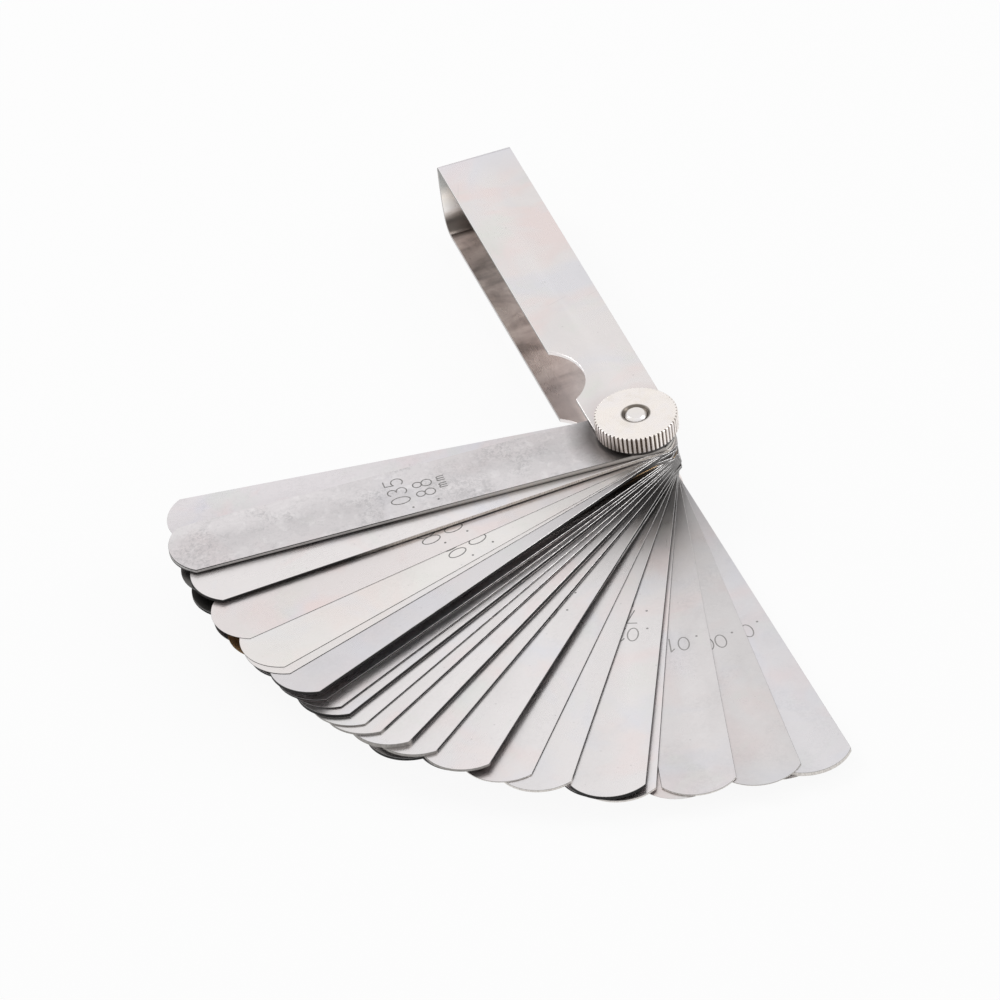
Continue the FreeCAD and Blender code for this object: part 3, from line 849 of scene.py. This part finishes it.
def steel_materials(node, index, opening, thickness):
    base, rough, stain, smudge, grime_and_shade = TONES.get(node, USUAL_TONE)
    brightness = 1.0 + (scatter(index, 5) - 0.5) * 0.05
    thickest = node == THICKEST
    face = steel(node + "_face", scaled(base, brightness), rough, seed=index + 1,
                 stain=stain, smudge=smudge, grime_and_shade=grime_and_shade,
                 mottle=MOTTLE.get(node, USUAL_MOTTLE),
                 nut_shadow=0.88 if thickest else 0.0, tip_shade=TIP_SHADES.get(node, 0.0))
    if thickest:
        side, arris = banded_side("leaf_side_banded", thickness), arris_dull
    else:
        side, arris = SIDES.get(node, side_dark), arris_bright
    return face.owner, side, arris, figures_dark if opening < 110 else figures_faint


def build_leaf(node, index, body, opening):
    low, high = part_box(node)
    thickness = (high.z - low.z) / MM
    turn = math.radians(opening)
    strokes = leaf_figures(node, index, opening, thickness)
    mesh = leaf_mesh(node + "_blade", thickness, strokes, tip_centre(node, turn))
    blade = bpy.data.objects.new(node + "_blade", mesh)
    bpy.context.scene.collection.objects.link(blade)
    blade.matrix_world = Matrix.Translation((0, 0, low.z)) @ Matrix.Rotation(turn, 4, "Z")
    if "brass" in node:
        materials = brass_materials(node, index)
    else:
        materials = steel_materials(node, index, opening, thickness)
    for material in materials:
        blade.data.materials.append(material)
    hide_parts(node)
    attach(blade, body)


joint_of = {joint["child"]: joint for joint in frame["joints"]}
bodies = frame["record"]["behaviour"]["bodies"]
body_of = {node: body for body, nodes in bodies.items() for node in nodes}
leaf_nodes = [node for node in frame["nodes"] if node.startswith("leaf_")]
# from the top of the stack down
for i, node in enumerate(sorted(leaf_nodes, key=lambda n: -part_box(n)[1].z)):
    body = body_of[node]
    build_leaf(node, i, body, opening=-joint_of[body]["range_deg"][0])


# ---------------------------------------------------------------- case, nut, stud, washer
def dress(node, material, bevel_mm):
    """Give a CAD piece one material and softened edges."""
    piece = frame["nodes"][node]
    piece.data.materials.clear()
    piece.data.materials.append(material)
    for polygon in piece.data.polygons:
        polygon.material_index = 0
    weld = piece.modifiers.new("weld", "WELD")
    weld.merge_threshold = 1e-6
    bevel = piece.modifiers.new("bevel", "BEVEL")
    bevel.width = bevel_mm * MM
    bevel.segments = 2
    bevel.limit_method = "ANGLE"
    bevel.angle_limit = math.radians(30)
    bevel.harden_normals = False


case_material = case_sheet()
nut_material = nickel("nut_plate", (0.955, 0.895, 0.845), rough=0.28,
                      shadow_ring=(2.75, 2.45, -1.0 + 1.0, -1.0), groove_shade=(7.14, 7.37))
stud_material = nickel("stud_plate", (0.86, 0.82, 0.79), rough=0.32, shadow_ring=(1.52, 1.66, 3.0, 2.4))
washer_material = steel("washer_sheet", (0.55, 0.55, 0.56), rough=0.38, seed=71,
                        stain=0.3, smudge=0.5).owner
dress("strip_case", case_material, bevel_mm=0.06)
dress("knurled_nut", nut_material, bevel_mm=0.03)
dress("pivot_stud", stud_material, bevel_mm=0.05)
dress("nut_washer", washer_material, bevel_mm=0.04)

# ---------------------------------------------------------------- stage
scene = bpy.context.scene
scene.view_settings.view_transform = "Standard"
scene.view_settings.look = "None"


def floor_white():
    """Nearly even white: mostly emission, with a little diffuse to take shadows."""
    g = new_shader("floor_white")
    g.surface({"Base Color": rgba((0.90, 0.90, 0.90)), "Roughness": 0.9,
               "Specular IOR Level": 0.0})
    glow = g.node("ShaderNodeEmission")
    glow.inputs["Color"].default_value = rgba((0.972, 0.972, 0.972))
    glow.inputs["Strength"].default_value = 1.0
    blend = g.node("ShaderNodeMixShader")
    for value, socket in zip((0.93, g.bsdf.outputs[0], glow.outputs[0]), blend.inputs):
        g.put(value, socket)
    g.put(blend.outputs[0], g.output.inputs[0])
    return g.owner


def build_floor():
    bm = bmesh.new()
    bmesh.ops.create_grid(bm, x_segments=2, y_segments=2, size=4.0)
    mesh = bpy.data.meshes.new("floor")
    bm.to_mesh(mesh)
    bm.free()
    floor = bpy.data.objects.new("floor", mesh)
    floor.location = (0, 0, -0.00002)
    scene.collection.objects.link(floor)
    floor.data.materials.append(floor_white())


def build_world():
    """Grey at the horizon, white overhead."""
    scene.world = bpy.data.worlds.new("studio")
    g = Graph(scene.world)
    output = g.node("ShaderNodeOutputWorld")
    background = g.node("ShaderNodeBackground")
    g.put(background.outputs[0], output.inputs[0])
    z = g.split(g.node("ShaderNodeTexCoord").outputs["Generated"])[2]
    sky = g.mix(g.map(z, 0.0, 0.75), (0.50, 0.50, 0.505), (1.0, 1.0, 1.0))
    g.put(sky, background.inputs["Color"])
    background.inputs["Strength"].default_value = 1.0


def softbox(name, location, side, power):
    """Square area light aimed at the origin."""
    light = bpy.data.lights.new(name, "AREA")
    light.shape = "RECTANGLE"
    light.size = light.size_y = side
    light.energy = power
    lamp = bpy.data.objects.new(name, light)
    scene.collection.objects.link(lamp)
    lamp.location = location
    lamp.rotation_euler = (-Vector(location)).to_track_quat("-Z", "Y").to_euler()


def build_camera():
    lens = bpy.data.cameras.new("camera")
    lens.sensor_width = 36.0
    lens.lens = 288.0
    lens.clip_start, lens.clip_end = 0.05, 20.0
    camera = bpy.data.objects.new("camera", lens)
    scene.collection.objects.link(camera)
    forward = Vector((0.19830765, 0.75242112, -0.62812143)).normalized()
    right = Vector((0.93978956, -0.32795117, -0.09614371)).normalized()
    up = right.cross(forward).normalized()
    turn = Matrix((right, up, -forward)).transposed().to_4x4()
    camera.matrix_world = Matrix.Translation((-0.3044643, -1.0553244, 0.8895755)) @ turn
    scene.camera = camera


build_floor()
build_world()
softbox("key_softbox", (-0.45, 0.55, 0.75), side=0.5, power=3.0)
softbox("fill_softbox", (0.7, -0.2, 0.6), side=0.4, power=1.2)
build_camera()
